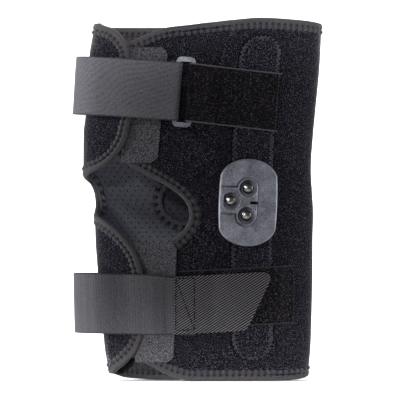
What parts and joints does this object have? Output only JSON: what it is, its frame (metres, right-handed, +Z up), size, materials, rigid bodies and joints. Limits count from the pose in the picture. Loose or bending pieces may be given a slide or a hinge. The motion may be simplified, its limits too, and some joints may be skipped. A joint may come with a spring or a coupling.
{
  "type": "hinged knee brace",
  "caption": "Wrap-around neoprene knee brace with an open kneecap, bound edges, front flaps, elastic straps and a rivet-domed side hinge on each side.",
  "frame": {"origin": "on the floor under the middle of the standing brace's box", "axes": "+Z up the leg, -Y out of the lateral side with the buckle, -X out of the front of the knee"},
  "size_m": [0.2276, 0.097, 0.3285],
  "materials": {
    "neoprene": "black loop cloth on foam",
    "binding_tape": "stitched stretch tape",
    "lining": "perforated knit lining",
    "elastic": "woven elastic webbing",
    "loop_strap": "black loop pile strap",
    "hook_tape": "grey hook tape",
    "hook_end": "moulded diagonal ribs",
    "hinge_plastic": "satin grey moulding",
    "rivet_steel": "polished steel"
  },
  "bodies": {
    "root": {"neoprene_wrap": "neoprene", "binding_top": "binding_tape", "binding_bottom": "binding_tape", "binding_lateral": "binding_tape", "binding_medial": "binding_tape", "binding_back_opening": "binding_tape", "back_cover": "lining", "upper_hook_tab": "hook_tape", "lower_hook_tab": "hook_tape", "upper_strap": "elastic", "upper_strap_anchor": "loop_strap", "slot_buckle": "hinge_plastic", "lower_strap": "elastic", "lower_strap_hook_end": "hook_end", "lower_strap_landing": "loop_strap", "lateral_hinge_pocket": "neoprene", "lateral_hinge_cover": "hinge_plastic", "lateral_hinge_dome_1": "rivet_steel", "lateral_hinge_dome_2": "rivet_steel", "lateral_hinge_dome_3": "rivet_steel", "medial_hinge_pocket": "neoprene", "medial_hinge_cover": "hinge_plastic", "medial_hinge_dome_1": "rivet_steel", "medial_hinge_dome_2": "rivet_steel", "medial_hinge_dome_3": "rivet_steel"}
  },
  "joints": []
}
